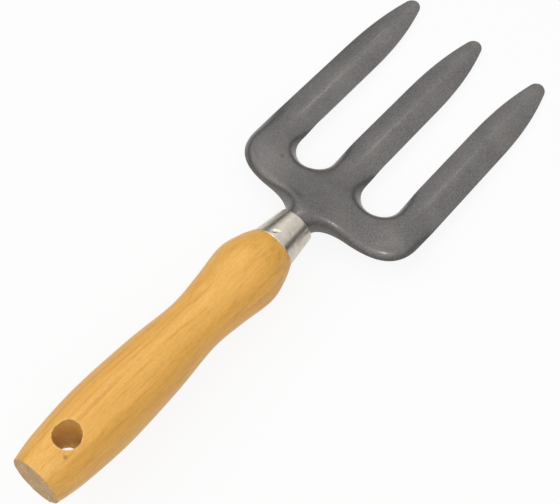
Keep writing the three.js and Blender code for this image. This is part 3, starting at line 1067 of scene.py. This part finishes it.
def dark_metal(name, tone, lump):
    """Painted-over bar or weld metal: dull, a little uneven."""
    paint = Paint(bpy.data.materials.new(name))
    place = paint.tool_place()
    cloud = paint.noise(place, 320.0, 4)
    fine = paint.noise(place, 2400.0, 2)
    darker = [level * 0.6 for level in tone]
    base = paint.mix(cloud.between(0.35, 0.7), tone, darker)
    paint.surface(
        Base_Color=base,
        Metallic=0.25,
        Roughness=0.45 + 0.15 * fine,
        Normal=paint.bump(cloud + fine * 0.4, 0.4, lump),
    )
    return paint.owner


class HANDFORK_OT_tang(bpy.types.Operator):
    """Turns the steel tang that is driven into the grip"""

    bl_idname = "handfork.tang"
    bl_label = "Tang"

    def execute(self, context):
        scene = context.scene
        tang = scene.hand_fork_tang
        outline = tang_outline(
            tang, scene.hand_fork_grip, scene.hand_fork_ferrule, scene.hand_fork_head, 0
        )
        outline.append((outline[-1][0], outline[-1][1] * 0.3))
        piece = turned("tang_bar", outline, TANG_SIDES)
        close_ends(piece, outline[0], outline[-1])
        close_shell(piece)
        material = dark_metal("tang_steel", tang.steel, 0.08 * MM)
        finish_piece(piece, material, "tang_steel", "tang", sharp=40)
        return {"FINISHED"}


class HANDFORK_OT_welds(bpy.types.Operator):
    """Lays the two rippled weld beads between the tang and the neck's lips"""

    bl_idname = "handfork.welds"
    bl_label = "Weld beads"

    def execute(self, context):
        scene = context.scene
        tang, head = scene.hand_fork_tang, scene.hand_fork_head
        plan = HeadPlan(head, scene.hand_fork_grip, scene.hand_fork_ferrule)
        start = plan.neck_start + 0.4 * MM
        end = plan.mouth + tang.nose - 2.4 * MM
        outline = []
        for i in range(BEAD_STEPS + 1):
            share = i / BEAD_STEPS
            x = lerp(start, end, share)
            ends = math.sqrt(max(0.02, 1 - (2 * share - 1) ** 8))
            wave = 0.93 + 0.11 * abs(math.sin(math.pi * (x - start) / tang.ripple))
            outline.append((x, tang.bead * ends * wave))
        material = dark_metal("weld_metal", tang.weld, 0.15 * MM)
        bead = turned("weld_bead_left", outline, BEAD_SIDES)
        close_ends(bead, outline[0], outline[-1])
        close_shell(bead)
        for vertex in bead.data.vertices:
            shake = noise.noise_vector(vertex.co * 900) * 0.12 * MM
            vertex.co += shake
            vertex.co.y *= 1.1
        tang_radius = plan.neck_radius - head.sheet - scene.hand_fork_ferrule.gap
        aside = tang_radius + 0.75 * MM
        low = head.edge_neck - head.sheet * 0.75
        bpy.ops.object.duplicate()
        other = bpy.context.object
        other.name = other.data.name = "weld_bead_right"
        sides = ((bead, 1, "tang_weld_left"), (other, -1, "tang_weld_right"))
        for piece, side, node in sides:
            piece.data.transform(Matrix.Translation((0, side * aside, low)))
            finish_piece(piece, material, "weld_metal", node)
        return {"FINISHED"}


# ---- stage ----
GLOW = 0.88  # how much of the floor shows as plain white; the rest keeps the shadow
HORIZON, OVERHEAD = 0.1, 0.45  # heights between which the sky brightens
DIM, BRIGHT = 0.03, 0.79  # the sky's strength under and over them
WALL_RADIUS, WALL_HEIGHT = 1.3, 0.55  # metres
WALL_GREY = 0.02
SENSOR_WIDTH = 36  # millimetres
# Each lamp's place and aim, its side and its power, in metres and watts.
LAMPS = {
    "key": ((-0.35, 1.0, 1.3), (0, 0, 0.02), 1.4, 5.4),
    "front": ((-0.46, -0.45, 1.02), (0.04, 0, 0.02), 0.22, 3.0),
    "crest": ((0.6, 0.46, 1.15), (0.08, 0, 0.01), 0.3, 1.2),
}


class HANDFORK_OT_stage(bpy.types.Operator):
    """Lays the pale floor inside a dark wall, and sets the soft lamps and the camera"""

    bl_idname = "handfork.stage"
    bl_label = "Stage"

    def execute(self, context):
        scene = context.scene
        stage = scene.hand_fork_stage
        bpy.ops.object.select_all(action="DESELECT")
        bpy.ops.mesh.primitive_plane_add(size=stage.floor)
        floor = bpy.context.object
        floor.name = "floor"
        paint = Paint(bpy.data.materials.new("floor"))
        white = paint.node("ShaderNodeEmission", {}, (1, 1, 1), 1.0)
        ground = paint.node("ShaderNodeBsdfDiffuse", {}, stage.ground)
        share = paint.seen() * GLOW
        paint.output(paint.node("ShaderNodeMixShader", {}, share, ground, white))
        floor.data.materials.append(paint.owner)

        world = bpy.data.worlds.new("studio")
        scene.world = world
        sky = Paint(world)
        towards = sky.node("ShaderNodeTexCoord", {}, output=GENERATED)
        height = sky.node("ShaderNodeSeparateXYZ", {}, towards, output=2)
        bright = height.between(HORIZON, OVERHEAD) * (BRIGHT - DIM) + DIM
        dome = sky.node("ShaderNodeBackground", {}, (1, 1, 1), bright)
        backdrop = sky.node("ShaderNodeBackground", {}, (1, 1, 1), 1.0)
        sky.output(sky.node("ShaderNodeMixShader", {}, sky.seen(), dome, backdrop))
        self.dark_wall()

        for name, settings in LAMPS.items():
            self.lamp(name, *settings)

        camera = bpy.data.cameras.new("camera")
        camera.sensor_width = SENSOR_WIDTH
        camera.lens = stage.lens
        place, aim = Vector(stage.place), Vector(stage.aim)
        look = (aim - place).normalized()
        level = look.cross(Vector((0, 0, 1))).normalized()
        upright = level.cross(look)
        up = upright * math.cos(stage.roll) + level * math.sin(stage.roll)
        axes = Matrix((look.cross(up), up, -look)).transposed().to_4x4()
        holder = bpy.data.objects.new("camera", camera)
        holder.matrix_world = Matrix.Translation(place) @ axes
        scene.collection.objects.link(holder)
        scene.camera = holder
        scene.view_settings.view_transform = "Standard"
        return {"FINISHED"}

    def dark_wall(self):
        """A low dark wall round the floor, out of the view, that bright metal shows as a band."""
        bpy.ops.mesh.primitive_cylinder_add(
            vertices=64,
            radius=WALL_RADIUS,
            depth=WALL_HEIGHT,
            end_fill_type="NOTHING",
            location=(0, 0, WALL_HEIGHT / 2),
        )
        wall = bpy.context.object
        wall.name = "dark_wall"
        paint = Paint(bpy.data.materials.new("dark_wall"))
        paint.output(paint.node("ShaderNodeBsdfDiffuse", {}, [WALL_GREY] * 3))
        wall.data.materials.append(paint.owner)

    def lamp(self, name, place, aim, side, power):
        light = bpy.data.lights.new(name, "AREA")
        light.shape = "SQUARE"
        light.size = side
        light.energy = power
        holder = bpy.data.objects.new(name, light)
        holder.location = place
        towards = Vector(aim) - Vector(place)
        holder.rotation_euler = towards.to_track_quat("-Z", "Y").to_euler()
        bpy.context.scene.collection.objects.link(holder)


# ---- add-on ------------------------------------------------------------------------------------------
class HANDFORK_PT_panel(bpy.types.Panel):
    """Lists the sizes and the pieces of the hand fork"""

    bl_idname = "HANDFORK_PT_panel"
    bl_label = "Hand Fork"
    bl_space_type = "VIEW_3D"
    bl_region_type = "UI"
    bl_category = "Hand Fork"

    def draw(self, context):
        for operator in OPERATORS:
            self.layout.operator(operator.bl_idname, text=operator.bl_label)
        for name in SETTINGS:
            box = self.layout.box()
            group = getattr(context.scene, name)
            for key in group.bl_rna.properties.keys():
                if key not in ("rna_type", "name"):
                    box.prop(group, key)


OPERATORS = (
    HANDFORK_OT_grip,
    HANDFORK_OT_ferrule,
    HANDFORK_OT_head,
    HANDFORK_OT_tang,
    HANDFORK_OT_welds,
    HANDFORK_OT_stage,
)
SETTINGS = {
    "hand_fork_grip": GripSizes,
    "hand_fork_ferrule": FerruleSizes,
    "hand_fork_head": HeadSizes,
    "hand_fork_tang": TangSizes,
    "hand_fork_stage": StageSizes,
}


def register():
    for group in SETTINGS.values():
        bpy.utils.register_class(group)
    for name, group in SETTINGS.items():
        setattr(bpy.types.Scene, name, bpy.props.PointerProperty(type=group))
    for operator in OPERATORS:
        bpy.utils.register_class(operator)
    bpy.utils.register_class(HANDFORK_PT_panel)


def unregister():
    bpy.utils.unregister_class(HANDFORK_PT_panel)
    for operator in reversed(OPERATORS):
        bpy.utils.unregister_class(operator)
    for name, group in SETTINGS.items():
        delattr(bpy.types.Scene, name)
        bpy.utils.unregister_class(group)


def main():
    register()
    bpy.ops.handfork.grip()
    bpy.ops.handfork.ferrule()
    bpy.ops.handfork.head()
    bpy.ops.handfork.tang()
    bpy.ops.handfork.welds()
    bpy.ops.handfork.stage()


if __name__ == "__main__":
    main()
